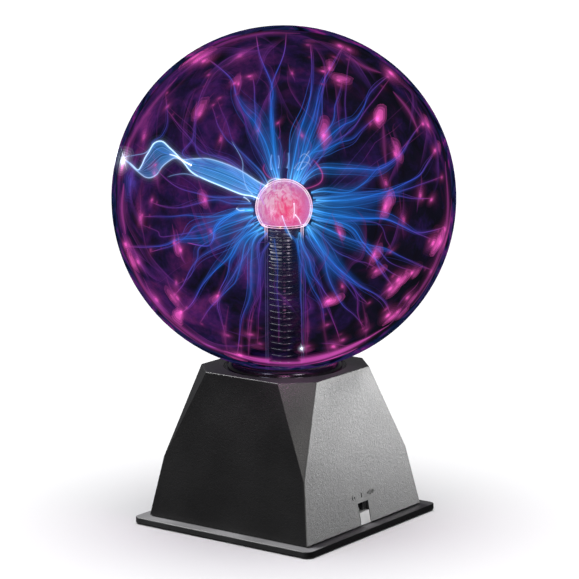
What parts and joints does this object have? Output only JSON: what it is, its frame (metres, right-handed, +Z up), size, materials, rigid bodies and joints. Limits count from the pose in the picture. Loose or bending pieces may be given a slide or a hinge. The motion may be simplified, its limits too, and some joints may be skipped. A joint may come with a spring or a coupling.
{
  "type": "plasma ball",
  "caption": "Plasma ball: sealed glass globe with a round electrode on a glass stem, on a tapered square base with a flange plate and a slide switch.",
  "frame": {"origin": "on the table, under the globe's axis", "axes": "+Z up along the globe's axis; +X towards the face with the mode switch; -X towards the power inlet"},
  "size_m": [0.2, 0.2, 0.2913],
  "materials": {
    "housing_plastic": "fine-textured moulded ABS, black",
    "plate_plastic": "satin moulded ABS, black",
    "cover_plastic": "smooth moulded, mid grey",
    "collar_plastic": "polished black",
    "socket_plastic": "moulded, black",
    "foot_rubber": "matt",
    "gasket_rubber": "satin",
    "silicone": "translucent white",
    "globe_glass": "clear, blue at the rim",
    "stem_glass": "clear",
    "electrode_coat": "thin conductive coat, lit pink",
    "sleeve_plastic": "polished black, corrugated",
    "screw_steel": "zinc plated",
    "spring_steel": "bright",
    "contact_brass": "bright",
    "ferrite": "ground",
    "coil_resin": "potted",
    "winding_copper": "enamelled copper",
    "lead_insulation": "silicone insulated",
    "board_laminate": "solder-masked laminate",
    "sink_aluminium": "extruded",
    "device_moulding": "epoxy moulding",
    "can_sleeve": "shrink sleeve",
    "film_resin": "dipped",
    "resistor_coat": "lacquered",
    "mic_can": "drawn",
    "jack_plastic": "moulded",
    "switch_case": "stamped",
    "knob_plastic": "moulded, black",
    "discharge_blue": "glowing gas",
    "discharge_violet": "glowing gas",
    "discharge_pink": "glowing gas",
    "gas_haze": "faint glow on the glass"
  },
  "bodies": {
    "base": {"base_plate": "plate_plastic", "rubber_feet": "foot_rubber", "base_housing": "housing_plastic", "slot_cover": "cover_plastic", "housing_screws": "screw_steel", "globe_collar": "collar_plastic", "globe_gasket": "gasket_rubber", "neck_socket": "socket_plastic", "neck_adhesive": "silicone", "socket_screws": "screw_steel", "glass_globe": "globe_glass", "glass_stem": "stem_glass", "exhaust_tip": "stem_glass", "electrode_lining": "electrode_coat", "lead_terminal": "contact_brass", "contact_spring": "spring_steel", "stem_sleeve": "sleeve_plastic", "transformer_core": "ferrite", "hv_coil": "coil_resin", "primary_coil": "winding_copper", "hv_lead": "lead_insulation", "circuit_board": "board_laminate", "board_screws": "screw_steel", "heat_sink": "sink_aluminium", "power_transistor": "device_moulding", "heat_sink_screw": "screw_steel", "filter_capacitors": "can_sleeve", "film_capacitors": "film_resin", "resistors": "resistor_coat", "control_chip": "device_moulding", "microphone": "mic_can", "dc_jack": "jack_plastic", "jack_pin": "contact_brass", "switch_body": "switch_case", "switch_contacts": "contact_brass"},
    "switch_slider": {"switch_knob": "knob_plastic", "switch_wiper": "contact_brass"}
  },
  "joints": [
    {"name": "mode_switch", "type": "slide", "parent": "base", "child": "switch_slider", "axis": [0, 1, 0], "range_m": [-0.005, 0]}
  ]
}
